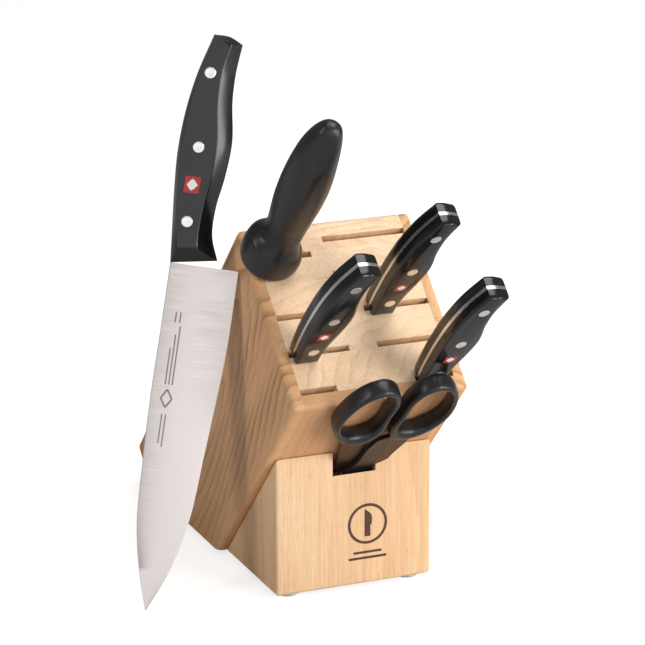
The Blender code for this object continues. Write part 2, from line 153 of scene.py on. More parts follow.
# Honing steel handle, from the slot face up: height, centre across, half width and half depth.
STEEL_RINGS = ((0.5, 0, 13.4, 13.4), (1.6, 0, 15.6, 15.6), (4.6, 0, 17.3, 17.3), (9.0, 0, 17.8, 17.7),
               (14.0, -0.3, 17.6, 17.2), (18.5, -0.6, 16.4, 16.0), (22.5, -0.5, 14.4, 14.2),
               (27.0, 0.4, 12.2, 12.2), (32.0, 1.3, 11.6, 11.4), (38.0, 1.5, 11.9, 11.2),
               (50.0, 1.2, 13.0, 11.9), (64.0, 0.8, 14.2, 12.8), (78.0, 0.4, 14.6, 13.2),
               (91.0, -0.2, 14.1, 13.0), (103.0, -0.7, 13.1, 12.3), (113.0, -1.0, 11.9, 11.4),
               (122.0, -0.9, 10.3, 10.0), (129.0, -0.6, 8.4, 8.2), (133.6, -0.2, 6.4, 6.2),
               (136.4, 0.1, 3.4, 3.2), (137.0, 0.2, 1.4, 1.3))
STEEL_SIDES = 64
# The thumb rest: its height and half length, its place and half width as a cosine round the handle, and
# its depth.
THUMB_REST = (119.0, 13.0, -0.40, 0.50, 2.6)
# The collar stands higher on its left: by how much, and round which height and half height.
STEEL_COLLAR_LIFT = 5.0
STEEL_COLLAR = (20.0, 16.0)

# Shears in their pivot frame: matched outlines of a finger loop's outside and hole.
LOOP_OUTER = ((-3.0, 64.0), (-3.0, 84.0), (-4.0, 103.5), (-8.5, 111.8), (-16.0, 115.5), (-24.0, 113.0),
              (-31.0, 105.0), (-35.0, 93.5), (-36.0, 81.0), (-33.6, 70.0), (-27.6, 60.0), (-20.0, 54.5),
              (-12.0, 54.0), (-6.0, 57.5))
LOOP_HOLE = ((-7.0, 70.0), (-6.8, 85.0), (-7.6, 101.5), (-10.8, 107.8), (-16.4, 111.2), (-22.4, 109.0),
             (-28.0, 101.8), (-31.2, 92.0), (-32.2, 81.8), (-30.2, 72.8), (-25.4, 65.8), (-19.5, 62.5),
             (-13.2, 62.8), (-8.8, 65.2))
LOOP_HALF = 5.4
LOOP_SIDES = 20
LOOP_SQUARENESS = 0.72
SHEARS_TILT = math.radians(3.0)

# A shank, from the pivot up into its loop: its inner edge, toothed on the left one, and its outer edge,
# which is narrower down in the groove. The jaw is the toothed inset between the two shanks, made black as
# painted shade.
SHANK_FOOT = 13.0
SHANK_INNER = ((7.8, 13.0), (6.4, 17.0), (4.6, 21.5), (0.4, 29.0), (-2.2, 35.0), (-3.0, 42.0), (-4.0, 49.0),
               (-5.6, 59.0))
SHANK_GROOVE_EDGE = {"left": -14.2, "right": -9.6}
SHANK_OUTER = ((-15.4, 28.0), (-16.4, 34.0), (-18.2, 41.0), (-20.0, 48.0), (-19.4, 59.0))
SHANK_LIP = 22.5
RIGHT_SHANK_INNER = ((7.0, 13.0), (7.2, 20.0), (8.2, 30.0), (8.6, 45.0), (6.0, 59.0))
JAW = ((8.4, 13.0), (-7.8, 13.0), (-5.0, 20.0), (-2.7, 27.0), (-2.2, 34.0), (-2.0, 41.0), (-1.0, 47.0),
       (1.5, 53.0), (9.2, 56.0))
JAW_INSET = 0.1
TOOTH_PITCH = 1.9
TOOTH_HEIGHT = 0.7
PLATE = (0.08, 2.75)  # a shank's two faces, measured from the plane between the halves

# Marks, in millimetres: the emblem on the base, and the etched lines on the chef's blade.
PRINT_DEPTH = 0.2
PRINT_RISE = 0.05
EMBLEM_CENTRE = (8.5, 40.0)
EMBLEM_RADIUS = 12.5
EMBLEM_LINE = 1.7
EMBLEM_KNIFE = ((-1.9, -7.8, 1), (1.9, -7.8, 1), (1.7, -1.0, 1), (2.6, -0.6, 1), (2.6, 5.0, 0),
                (-1.9, 9.4, 1), (-1.9, -0.6, 0))
# Each bar's distance below the emblem's centre, and its half length.
EMBLEM_BARS = ((17.5, 9.0), (21.0, 12.0))
EMBLEM_BAR_WIDTH = 1.5
EMBLEM_SIDES = 48
# Each etched line: how far across the blade, and its two ends along it. The lozenge: centre and half height.
ETCH_LINES = ((-6.9, 131, 152), (-4.9, 131, 160), (-2.9, 131, 165), (-6.2, 167, 173), (-3.6, 167, 173),
              (-6.4, 97, 114), (-4.2, 95, 114))
ETCH_LOZENGE = (-5.2, 123.0, 5.2)
ETCH_LOZENGE_SHARE = 0.62
ETCH_WIDTH = 0.8
LOZENGE_WIDTH = 1.1
ETCH_HEIGHT = 1.02


# ---------------------------------------------------------------- geometry

def new_piece(name, mesh, place, look, body, replaced=()):
    """A finished piece of the visual model, riding on its body."""
    piece = bpy.data.objects.new(name, mesh)
    bpy.context.scene.collection.objects.link(piece)
    piece.matrix_world = place
    mesh.materials.clear()
    mesh.materials.append(look)
    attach(piece, body)
    if replaced:
        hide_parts(*replaced)


def smooth(mesh, angle=35):
    """Smooth shading that breaks at edges sharper than the angle, in degrees."""
    mesh.shade_smooth()
    mesh.set_sharp_from_angle(angle=math.radians(angle))
    return mesh


def loft(name, rings, ends_meet=False, angle=35):
    """A closed skin over rings of points, capped unless the last ring is joined to the first."""
    count = len(rings[0])
    points = [tuple(point) for ring in rings for point in ring]
    faces = []
    spans = len(rings) if ends_meet else len(rings) - 1
    for i in range(spans):
        j = (i + 1) % len(rings)
        for k in range(count):
            n = (k + 1) % count
            faces.append((i * count + k, i * count + n, j * count + n, j * count + k))
    if not ends_meet:
        faces.append(tuple(reversed(range(count))))
        faces.append(tuple(range((len(rings) - 1) * count, len(rings) * count)))
    mesh = bpy.data.meshes.new(name)
    mesh.from_pydata(points, [], faces)
    return finished(mesh, angle)


def finished(mesh, angle=35):
    """Welds what coincides, turns every face outwards and smooths the shading."""
    work = bmesh.new()
    work.from_mesh(mesh)
    bmesh.ops.remove_doubles(work, verts=work.verts, dist=1e-6)
    bmesh.ops.dissolve_degenerate(work, edges=work.edges, dist=1e-7)
    bmesh.ops.recalc_face_normals(work, faces=work.faces)
    work.to_mesh(mesh)
    work.free()
    return smooth(mesh, angle)


def bend(points, detail=6, closed=True):
    """A smooth line through points of (x, y) or (x, y, corner), sampled between them."""
    pts = [Vector(point[:2]) for point in points]
    corner = [len(point) > 2 and point[2] == 1 for point in points]
    count = len(pts)
    if not closed:
        corner[0] = corner[-1] = True

    def heading(i):
        before, after = pts[i] - pts[i - 1], pts[(i + 1) % count] - pts[i]
        a, b = max(before.length, 1e-9), max(after.length, 1e-9)
        return (before / a * b + after / b * a) / (a + b)

    line = []
    for i in range(count if closed else count - 1):
        j = (i + 1) % count
        span = pts[j] - pts[i]
        start = span if corner[i] else heading(i) * span.length
        end = span if corner[j] else heading(j) * span.length
        for step in range(detail):
            t = step / detail
            a, b = 2 * t ** 3 - 3 * t ** 2 + 1, t ** 3 - 2 * t ** 2 + t
            c, d = 3 * t ** 2 - 2 * t ** 3, t ** 3 - t ** 2
            line.append(pts[i] * a + start * b + pts[j] * c + end * d)
    if not closed:
        line.append(pts[-1])
    return line


def across_at(line, y):
    """The x of a line, which runs one way in y, at height y."""
    for a, b in zip(line, line[1:]):
        if min(a.y, b.y) <= y <= max(a.y, b.y) and a.y != b.y:
            return a.x + (b.x - a.x) * (y - a.y) / (b.y - a.y)
    return line[0].x if abs(y - line[0].y) < abs(y - line[-1].y) else line[-1].x


def box_mesh(low, high):
    """A box between two corners."""
    work = bmesh.new()
    bmesh.ops.create_cube(work, size=1.0)
    size = [high[i] - low[i] for i in range(3)]
    middle = [(high[i] + low[i]) / 2 for i in range(3)]
    work.transform(Matrix.Translation(middle) @ Matrix.Diagonal(size + [1.0]))
    mesh = bpy.data.meshes.new("box")
    work.to_mesh(mesh)
    work.free()
    return mesh


def helper(mesh, place):
    """An object that only lends its shape to others."""
    tool = bpy.data.objects.new("helper", mesh)
    bpy.context.scene.collection.objects.link(tool)
    tool.matrix_world = place
    return tool


def worked(tool, steps):
    """A helper's mesh after its modifiers: ("BEVEL", width, segments) or ("BOOLEAN", operation, other)."""
    for kind, how, other in steps:
        modifier = tool.modifiers.new(kind, kind)
        if kind == "BOOLEAN":
            modifier.operation = how
            modifier.solver = "EXACT"
            modifier.object = other
        else:
            modifier.width = how
            modifier.segments = other
            modifier.limit_method = "ANGLE"
            modifier.angle_limit = BEVEL_ANGLE
    bpy.context.view_layer.update()
    graph = bpy.context.evaluated_depsgraph_get()
    return bpy.data.meshes.new_from_object(tool.evaluated_get(graph))


def drop(*tools):
    """Removes helpers that have done their work."""
    for tool in tools:
        bpy.data.objects.remove(tool, do_unlink=True)


# ---------------------------------------------------------------- materials

class Nodes:
    """Short names for building a node material. With a frame, its coordinates are those of the frame."""

    def __init__(self, name, frame=None):
        self.frame = frame
        self.material = bpy.data.materials.new(name)
        self.material.use_nodes = True
        self.tree = self.material.node_tree
        self.shader = self.tree.nodes["Principled BSDF"]

    def add(self, kind, **settings):
        """A node, with its properties set by their names."""
        node = self.tree.nodes.new(kind)
        for key, value in settings.items():
            setattr(node, key, value)
        return node

    def link(self, source, target):
        self.tree.links.new(source, target)

    def math(self, operation, first, second=None):
        """One sum on numbers or sockets."""
        node = self.add("ShaderNodeMath", operation=operation)
        for socket, value in zip(node.inputs, (first, second)):
            if value is None:
                continue
            if isinstance(value, (int, float)):
                socket.default_value = value
            else:
                self.link(value, socket)
        return node.outputs[0]

    def spots(self, scale, offset=0.0, detail=3.0, roughness=0.55):
        """Noise over the piece's own coordinates, scaled per axis."""
        mapping = self.add("ShaderNodeMapping")
        mapping.inputs["Location"].default_value = (offset, offset * 0.7, offset * 1.3)
        mapping.inputs["Scale"].default_value = scale
        self.link(self.place(), mapping.inputs["Vector"])
        noise = self.add("ShaderNodeTexNoise")
        noise.inputs["Scale"].default_value = 1.0
        noise.inputs["Detail"].default_value = detail
        noise.inputs["Roughness"].default_value = roughness
        self.link(mapping.outputs[0], noise.inputs["Vector"])
        return noise.outputs["Fac"]

    def place(self):
        """The piece's coordinates, in metres."""
        if not hasattr(self, "coordinates"):
            self.coordinates = self.add("ShaderNodeTexCoord").outputs["Object"]
            if self.frame:
                turned = self.add("ShaderNodeMapping", vector_type="TEXTURE")
                turned.inputs["Location"].default_value = self.frame.translation
                turned.inputs["Rotation"].default_value = self.frame.to_euler()
                self.link(self.coordinates, turned.inputs["Vector"])
                self.coordinates = turned.outputs[0]
        return self.coordinates

    def spread(self, value, low, high, to_low=0.0, to_high=1.0):
        """A value's range from low to high, stretched over a new range."""
        node = self.add("ShaderNodeMapRange")
        self.link(value, node.inputs["Value"])
        limits = {"From Min": low, "From Max": high, "To Min": to_low, "To Max": to_high}
        for socket, number in limits.items():
            node.inputs[socket].default_value = number
        return node.outputs[0]

    def mix(self, factor, first, second):
        """Two colours mixed by a factor; each is a tuple or a socket."""
        node = self.add("ShaderNodeMix", data_type="RGBA")
        for slot, value in ((0, factor), (6, first), (7, second)):
            socket = node.inputs[slot]
            if isinstance(value, (int, float)):
                socket.default_value = value
            elif isinstance(value, tuple):
                socket.default_value = (*value, 1.0)
            else:
                self.link(value, socket)
        return node.outputs[2]

    def ramp(self, value, stops):
        """A grey ramp of (position, level) stops."""
        node = self.add("ShaderNodeValToRGB")
        ramp = node.color_ramp
        while len(ramp.elements) < len(stops):
            ramp.elements.new(0.5)
        for element, (position, level) in zip(ramp.elements, stops):
            element.position = position
            element.color = (level, level, level, 1.0)
        self.link(value, node.inputs[0])
        return node.outputs[0]

    def bump(self, height, strength, distance):
        """Fine relief on the shader's normal."""
        node = self.add("ShaderNodeBump")
        node.inputs["Strength"].default_value = strength
        node.inputs["Distance"].default_value = distance
        self.link(height, node.inputs["Height"])
        self.link(node.outputs[0], self.shader.inputs["Normal"])

    def set(self, **values):
        """Even values on the shader's own sockets."""
        for key, value in values.items():
            socket = self.shader.inputs[key.replace("_", " ")]
            socket.default_value = (*value, 1.0) if isinstance(value, tuple) and len(value) == 3 else value


RING_RAMP = ((0.0, 0.06), (0.50, 0.26), (0.80, 0.75), (0.93, 1.0), (1.0, 0.06))
SMALL_WAVER = 0.22
WARMER = (0.86, 0.74, 0.62)
FIBRE_SHARE = 0.34


def wood(name, light, dark, pith=(0.0, 0.0, 0.2), turn=0.0, squeeze=(1, 25, 1), rings=220.0, ring_depth=0.5,
         seed=0.0, fibre=1.0, waviness=2.0, shade=0.0, painted_low_shade=None, edge=None, frame=None):
    """Pale close-grained wood, its grain along y.

    The growth rings lie round the pith, stretched by squeeze and turned about x, so many to the metre. The
    shade adds dark clouds. Painted shade darkens the board along y towards its lower end, and painted light
    pales the board and calms its grain across z towards its rounded front edge.
    """
    n = Nodes(name, frame)

    # Growth rings: pale early wood that darkens to a sharp line, wavering and uneven in strength.
    waver = n.spots((22, 5, 22), seed, 2.0)
    small_waver = n.spots((90, 16, 90), seed + 9.0, 2.0)
    shift = n.add("ShaderNodeMapping", vector_type="TEXTURE")
    shift.inputs["Location"].default_value = pith
    shift.inputs["Rotation"].default_value = (turn, 0, 0)
    shift.inputs["Scale"].default_value = squeeze
    n.link(n.place(), shift.inputs["Vector"])
    reach = n.add("ShaderNodeVectorMath", operation="LENGTH")
    n.link(shift.outputs[0], reach.inputs[0])
    phase = n.math("MULTIPLY", reach.outputs["Value"], rings)
    phase = n.math("ADD", phase, n.math("MULTIPLY", waver, waviness))
    phase = n.math("ADD", phase, n.math("MULTIPLY", small_waver, waviness * SMALL_WAVER))
    ring = n.ramp(n.math("FRACT", phase), RING_RAMP)
    uneven = n.spread(n.spots((45, 5, 45), seed + 3.1, 2.0), 0.35, 0.65, 0.15, 1.0)
    ringed = n.math("MULTIPLY", n.math("MULTIPLY", ring, uneven), ring_depth)
    colour = n.mix(ringed, light, dark)

    # Broad patches of warmer wood, and dark clouds.
    patch = n.spread(n.spots((26, 5, 26), seed + 7.7, 3.0), 0.3, 0.7)
    warm = tuple(channel * factor for channel, factor in zip(light, WARMER))
    colour = n.mix(n.math("MULTIPLY", patch, 0.6), colour, n.mix(ringed, warm, dark))
    if shade:
        cloud = n.spread(n.spots((16, 7, 16), seed + 12.3, 3.0, 0.6), 0.38, 0.66, 0.0, shade)
        colour = n.mix(cloud, colour, dark)
    # Painted shade: darker towards the lower end along y. Painted light: paler, calmer wood on the front
    # edge.
    if painted_low_shade:
        parts = n.add("ShaderNodeSeparateXYZ")
        n.link(n.place(), parts.inputs[0])
        colour = n.mix(n.spread(parts.outputs["Y"], *painted_low_shade), colour, dark)
        plain = tuple(0.8 * a + 0.2 * b for a, b in zip(light, dark))
        colour = n.mix(n.spread(parts.outputs["Z"], *edge), colour, plain)

    # Fibres and pores, which also give the surface its fine relief.
    threads = n.spots((800, 20, 800), seed + 1.3, 4.0, 0.65)
    colour = n.mix(n.math("MULTIPLY", n.spread(threads, 0.38, 0.70), FIBRE_SHARE * fibre), colour, dark)
    pores = n.spread(n.spots((1900, 90, 1900), seed + 5.9, 2.0), 0.60, 0.72)
    deep = tuple(channel * 0.5 for channel in dark)
    colour = n.mix(n.math("MULTIPLY", pores, FIBRE_SHARE * fibre), colour, deep)
    n.link(colour, n.shader.inputs["Base Color"])
    n.link(n.spread(threads, 0.3, 0.7, 0.44, 0.58), n.shader.inputs["Roughness"])
    n.set(Specular_IOR_Level=0.35)
    n.bump(n.math("SUBTRACT", n.math("MULTIPLY", threads, 0.6), pores), 0.35, 0.00025)
    return n.material


def plastic(name, colour, roughness, grain):
    """Black moulded plastic: a faint surface waviness, and wipe marks in its gloss."""
    n = Nodes(name)
    n.set(Roughness=roughness, Specular_IOR_Level=0.5)
    paler = tuple(c * 1.35 for c in colour)
    tone = n.mix(n.spread(n.spots((70, 70, 70), 2.0), 0.35, 0.65), colour, paler)
    n.link(tone, n.shader.inputs["Base Color"])
    smear = n.spots((160, 40, 160), 4.0, 4.0, 0.6)
    n.link(n.spread(smear, 0.3, 0.7, roughness * 0.8, roughness * 1.25), n.shader.inputs["Roughness"])
    n.bump(n.spots((3500, 3500, 3500), 1.0, 2.0), grain, 0.00004)
    return n.material


def steel(name, colour, roughness, streak=(3000, 60, 3000), bump=0.10, mottle=0.14):
    """Brushed steel, with fine streaks along the piece's y; the mottle is how much its tone varies."""
    n = Nodes(name)
    n.set(Metallic=1.0, Roughness=roughness)
    lines = n.spots(streak, 3.0, 3.0, 0.6)
    cloud = n.spots((40, 14, 40), 6.0, 2.0)
    duller, darker = (tuple(c * share for c in colour) for share in (1 - mottle, 0.90))
    tone = n.mix(n.spread(lines, 0.3, 0.7, 0.0, 0.5), colour, duller)
    tone = n.mix(n.spread(cloud, 0.35, 0.65, 0.0, mottle * 1.8), tone, darker)
    n.link(tone, n.shader.inputs["Base Color"])
    n.link(n.spread(lines, 0.3, 0.7, roughness * 0.8, roughness * 1.25), n.shader.inputs["Roughness"])
    n.bump(lines, bump, 0.00005)
    return n.material


def paint(name, colour, roughness=0.4, wear=0.2):
    """A thin printed or stamped coat, a little uneven."""
    n = Nodes(name)
    n.set(Roughness=roughness)
    worn = tuple(min(1.0, c * 1.5 + 0.02) for c in colour)
    tone = n.mix(n.spread(n.spots((900, 900, 900), 2.5, 3.0), 0.35, 0.7, 0.0, wear * 2), colour, worn)
    n.link(tone, n.shader.inputs["Base Color"])
    return n.material


PEACH = (0.95, 0.72, 0.49)
TAN = (0.55, 0.285, 0.125)
PINK = (0.74, 0.41, 0.215)
GINGER = (0.90, 0.53, 0.27)
BROWN = (0.27, 0.115, 0.040)
CREAM = (0.88, 0.61, 0.365)
BLADE_TINT = (0.71, 0.655, 0.635)
# The shanks' steel colour is a painted dark reflection of the shaded wood in the groove.
SHANK_DARK_REFLECTION_TINT = (0.115, 0.082, 0.062)

GLOSS_BLACK = plastic("polished_black", (0.007, 0.007, 0.0075), 0.15, 0.05)
SATIN_BLACK = plastic("satin_black", (0.010, 0.010, 0.0105), 0.33, 0.25)
BLADE_STEEL = steel("satin_blade_steel", BLADE_TINT, 0.34, (40, 1200, 40), 0.004, 0.025)
TANG_STEEL = steel("tang_steel", (0.86, 0.84, 0.83), 0.24)
RIVET_STEEL = steel("rivet_face_steel", (0.90, 0.86, 0.83), 0.30, (900, 900, 900))
RED_PAINT = paint("badge_red", (0.42, 0.012, 0.012), 0.3)
SHANK_PAINTED_REFLECTION = steel("shank_painted_dark_reflection", SHANK_DARK_REFLECTION_TINT, 0.38, (500, 60, 500), 0.10)
WHITE_PAINT = paint("badge_white", (0.80, 0.78, 0.77), 0.35)
ETCH = paint("etched_grey", (0.20, 0.19, 0.19), 0.5)
BRAND_BROWN = paint("burnt_brown", (0.055, 0.018, 0.008), 0.7, 0.6)


# ---------------------------------------------------------------- slab

def slab_limits(node):
    """A node's lowest and highest corners in the slab's frame."""
    inverse = SLAB.inverted()
    points = [inverse @ vertex.co for vertex in NODES[node].data.vertices]
    low = [min(point[i] for point in points) for i in range(3)]
    high = [max(point[i] for point in points) for i in range(3)]
    return low, high


BOARD_LOOKS = {
    "slab_left_cheek": dict(
        light=GINGER, dark=BROWN, pith=(-0.080, -0.128, 0.056), turn=-0.24, squeeze=(6, 4.2, 1),
        rings=150.0, ring_depth=0.8, seed=1.0, fibre=0.7, waviness=2.3, shade=0.22,
        # painted shade on the cheek's lower part, and painted light on its rounded front edge
        painted_low_shade=(-0.10, -0.25, 0.0, 0.38), edge=(0.107, 0.1165, 0.0, 0.8)),
    "slab_right_cheek": dict(
        light=GINGER, dark=BROWN, pith=(0.09, -0.1, 0.06), rings=150.0, ring_depth=0.7, seed=2.0),
    "slab_front_board": dict(
        light=PINK, dark=TAN, pith=(-0.012, 0.0, 0.052), rings=330.0, ring_depth=0.7, seed=3.0,
        waviness=1.2, shade=0.3),
    "slab_back_board": dict(
        light=PEACH, dark=TAN, pith=(0.02, 0.0, 0.12), ring_depth=0.7, seed=4.0),
}
for index in range(2, 7):
    BOARD_LOOKS[f"slab_board_{index}"] = dict(
        light=PEACH, dark=TAN, pith=(0.05 * index - 0.2, 0.0, 0.16), rings=120.0, ring_depth=0.42,
        seed=5.0 + index, waviness=2.5)


def strip_look(node, looks):
    """A spacer or strip takes the wood of one of the middle boards."""
    number = 3 if node == "steel_channel_strip" else int(node[len("row_")]) % 5 + 2
    return looks[f"slab_board_{number}"]


def build_slab():
    """Cuts every board of the slab out of one shape with rounded outer edges."""
    half = SLAB_WIDTH / 2
    overlong = SLAB_LENGTH + 2 * SPARE
    envelope = helper(box_mesh((-half, -overlong, 0), (half, 0, SLAB_DEPTH)), SLAB)
    rounded = helper(worked(envelope, [("BEVEL", EDGE_ROUNDING, 5)]), SLAB)
    floor_cut = helper(box_mesh((-FAR, -FAR, -FAR), (FAR, FAR, FLOOR_GAP)), Matrix.Identity(4))
    end_cut = helper(box_mesh((-FAR, -FAR, -FAR), (FAR, -SLAB_LENGTH, FAR)), SLAB)
    cuts = [("BOOLEAN", "DIFFERENCE", floor_cut), ("BOOLEAN", "DIFFERENCE", end_cut)]
    shape = helper(worked(rounded, cuts), SLAB)
    boards = [n for n in NODES if n.startswith("slab_")]
    looks = {node: wood(node + "_wood", frame=SLAB, **BOARD_LOOKS[node]) for node in boards}
    strips = [n for n in NODES if n.endswith("_spacer")] + ["steel_channel_strip"]
    for node in boards + strips:
        # The box a board is cut with reaches past the slab outside, and a hair into its neighbours.
        low, high = slab_limits(node)
        if node.endswith("_cheek"):
            outer = low if node == "slab_left_cheek" else high
            outer[0] += SPARE if outer is high else -SPARE
        else:
            low[0] -= GAP
            high[0] += GAP
        if node in strips:
            low[2] -= GAP
            high[2] += GAP
        low[1] -= 5 * SPARE
        high[1] += 5 * SPARE
        if low[2] < NEAR:
            low[2] -= SPARE
        if high[2] > SLAB_DEPTH - NEAR:
            high[2] += SPARE
        board = helper(box_mesh(low, high), SLAB)
        mesh = worked(board, [("BOOLEAN", "INTERSECT", shape)])
        mesh.name = node + "_face"
        mesh.transform(SLAB)
        look = looks[node] if node in looks else strip_look(node, looks)
        new_piece("wood_" + node, smooth(mesh, 30), Matrix.Identity(4), look, "block", [node])
        drop(board)
    drop(envelope, rounded, floor_cut, end_cut, shape)


# ---------------------------------------------------------------- base

def build_base():
    """The wedge in one piece of wood, with the groove for the shears cut out, and the rubber feet."""
    low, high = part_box("base_left_board")
    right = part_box("base_right_board")[1]
    place = front_place(middle_of("slab_front_board").x, 0)
    inverse = place.inverted()
    side = [(low.y, low.z), (high.y, low.z), (low.y, high.z)]
    rings = [[inverse @ Vector((x, y, z)) for y, z in side] for x in (low.x, right.x)]
    wedge = helper(loft("wedge", rings), place)
    groove_low = (-GROOVE_HALF, -0.4, SLAB_DEPTH - 2 * SPARE)
    groove_high = (GROOVE_HALF, 0.1, SLAB_DEPTH + GROOVE_DEPTH)
    groove = helper(box_mesh(groove_low, groove_high), SLAB)
    rounded = helper(worked(wedge, [("BEVEL", BASE_ROUNDING, 4)]), place)
    mesh = worked(rounded, [("BOOLEAN", "DIFFERENCE", groove)])
    mesh.name = "base_block"
    look = wood("base_wood", CREAM, TAN, pith=(0.30, 0.0, 0.22), squeeze=(1, 16, 1), rings=110.0,
                ring_depth=0.40, seed=11.0, waviness=2.6)
    boards = ["base_left_board", "base_centre_board", "base_right_board"]
    new_piece("wood_base", smooth(mesh, 30), place, look, "block", boards)
    drop(wedge, groove, rounded)
    rubber = Nodes("foot_rubber_grey")
    rubber.set(Roughness=0.45, Subsurface_Weight=0.3)
    speckle = rubber.spread(rubber.spots((300, 300, 300)), 0.3, 0.7)
    tone = rubber.mix(speckle, (0.50, 0.51, 0.50), (0.62, 0.63, 0.62))
    rubber.link(tone, rubber.shader.inputs["Base Color"])
    for node in [n for n in NODES if n.startswith("foot_")]:
        dress(node, rubber.material)


def front_place(x, y):
    """A frame that faces the viewer: its x is the world's, its y points up and its z to the front."""
    return matrix(Vector((1, 0, 0)), Vector((0, 0, 1)), Vector((0, -1, 0)), Vector((x, y, 0)))


def dress(node, look):
    """Gives a kept CAD node its finish."""
    mesh = NODES[node].data
    mesh.materials.clear()
    mesh.materials.append(look)


# ---------------------------------------------------------------- knives

def flat_shape(name, outline, low, high, place, look, body):
    """A thin plate from an outline in millimetres, between two heights."""
    rings = [[(p[0] * MM, p[1] * MM, height * MM) for p in outline] for height in (low, high)]
    new_piece(name, loft(name, rings), place, look, body)


def handle_scale(name, outer, flat, profile, half, sign, place, body, node):
    """One half of a handle, from the tang's side up over its chamfer to its flat face."""
    outside, face = bend(outer), bend(flat)
    start = TANG_HALF + 0.02
    rings = []
    for inset, rise in profile:
        z = sign * (start + (half - start) * rise) * MM
        line = [a.lerp(b, inset) for a, b in zip(outside, face)]
        rings.append([(p.x * MM, p.y * MM, z) for p in line])
    new_piece(name, loft(name, rings, angle=28), place, GLOSS_BLACK, body, [node])


def rivet_face(name, at, half, place, body, node):
    """A through rivet: turned faces a hair proud of both scales, with a shallow dish."""
    turns = [2 * math.pi * k / RIVET_SIDES for k in range(RIVET_SIDES)]
    rings = []
    for sign, order in ((1, RIVET_FACE), (-1, RIVET_FACE[::-1])):
        for share, rise in order:
            z = sign * (half + RIVET_PROUD + rise) * MM
            radius = max(share, 0.002) * RIVET_RADIUS
            rings.append([((at[0] + radius * math.cos(a)) * MM, (at[1] + radius * math.sin(a)) * MM, z)
                          for a in turns])
    new_piece(name, loft(name, rings, angle=50), place, RIVET_STEEL, body, [node])


def blade(name, edge, spine, outer, place, body, node):
    """The blade, with flat sides that thin towards the edge and the tip, and its tang in the scales."""
    edge_line, spine_line = bend(edge, 8, False), bend(spine, 8, False)
    bottom, top = edge[0][1], min(edge[-1][1], spine[-1][1])
    rings = []
    for k in range(BLADE_STEPS + 1):
        t = k / BLADE_STEPS
        y = bottom + (top - bottom) * (t ** 1.6)
        left, right = across_at(spine_line, y), across_at(edge_line, y)
        if k == 0:
            left, right = left - 0.05, right + 0.05
        taper = 1.0 - 0.35 * max(0.0, 1.0 - t * 1.6) ** 2
        front = [(left + (right - left) * q, h * taper * BLADE_THICKNESS / 2) for q, h in BLADE_SECTION]
        ring = front + [(x, -z) for x, z in reversed(front)]
        rings.append([(x * MM, y * MM, z * MM) for x, z in ring])
    new_piece(name, loft(name, rings, angle=30), place, BLADE_STEEL, body, [node])
    tang = [(p.x, p.y) for p in bend(outer)]
    flat_shape(name + "_tang", tang, -TANG_HALF, TANG_HALF, place, TANG_STEEL, body)


def badge(name, corners, half, place, body):
    """A small red inlay with a plain white lozenge on it."""
    flat_shape(name, corners, half - 0.2, half + 0.06, place, RED_PAINT, body)
    centre = [sum(c[i] for c in corners) / 4 for i in (0, 1)]
    a = [(corners[0][i] + corners[1][i]) / 2 - centre[i] for i in (0, 1)]
    b = [(corners[1][i] + corners[2][i]) / 2 - centre[i] for i in (0, 1)]
    shape = [(centre[0] + a[0] * p + b[0] * q, centre[1] + a[1] * p + b[1] * q) for p, q in BADGE_SHAPE]
    flat_shape(name + "_lozenge", shape, half, half + 0.10, place, WHITE_PAINT, body)


def build_handle(name, outer, flat, profile, half, rivets, place):
    """Both scales of a knife and its rivets."""
    for side, sign in (("front", 1), ("rear", -1)):
        handle_scale(f"{name}_grip_{side}", outer, flat, profile, half, sign, place, name,
                     f"{name}_scale_{side}")
    for count, at in enumerate(rivets, 1):
        rivet_face(f"{name}_pin_{count}", at, half, place, name, f"{name}_rivet_{count}")


def knife_place(name, axes, rivets):
    """A knife's frame in millimetres, found from the CAD place of its first rivet."""
    first = Vector((rivets[0][0] * MM, rivets[0][1] * MM, 0))
    return Matrix.Translation(middle_of(f"{name}_rivet_1") - axes @ first) @ axes


def build_small_knives():
    """The three knives that stand in the slab's slots."""
    for name, (across, forward, length, height) in SMALL_KNIVES.items():
        lean = Matrix.Rotation(math.radians(forward), 4, "X") @ Matrix.Rotation(math.radians(across), 4, "Z")
        place = knife_place(name, SLAB.to_3x3().to_4x4() @ lean, SMALL_RIVETS)
        edge = [(height * x, length * y) for x, y in SMALL_EDGE] + [(height, -4), (12.8, -2.5), (12.8, 0)]
        tip = (height * SMALL_EDGE[0][0], length * SMALL_EDGE[0][1])
        spine = [tip] + [(x, length * y) for x, y in SMALL_SPINE] + [(-0.6, -4), (-0.8, 0)]
        blade(f"{name}_steel", edge, spine, SMALL_OUTER, place, name, f"{name}_blade")
        build_handle(name, SMALL_OUTER, SMALL_FLAT, SMALL_PROFILE, SMALL_HALF, SMALL_RIVETS, place)
        badge(f"{name}_badge", SMALL_BADGE, SMALL_HALF, place, name)


def build_chef_knife():
    """The large knife that leans on the slab's left side."""
    name = "chef_knife"
    across = CHEF_ALONG.cross(CHEF_FACE).normalized()
    axes = matrix(across, CHEF_ALONG, across.cross(CHEF_ALONG), Vector((0, 0, 0)))
    place = knife_place(name, axes, CHEF_RIVETS)
    blade(f"{name}_steel", CHEF_EDGE, CHEF_SPINE, CHEF_OUTER, place, name, f"{name}_blade")
    build_handle(name, CHEF_OUTER, CHEF_FLAT, CHEF_PROFILE, CHEF_HALF, CHEF_RIVETS, place)
    build_blade_mark(place)
    badge(f"{name}_badge", CHEF_BADGE, CHEF_HALF, place, name)


# ---------------------------------------------------------------- marks

def bar(name, a, b, width, height, place, look, body):
    """A thin straight printed bar between two points in millimetres."""
    a, b = Vector(a), Vector(b)
    side = (b - a).normalized().orthogonal() * width / 2
    outline = [(p.x, p.y) for p in (a - side, b - side, b + side, a + side)]
    flat_shape(name, outline, height - PRINT_DEPTH, height + PRINT_RISE, place, look, body)


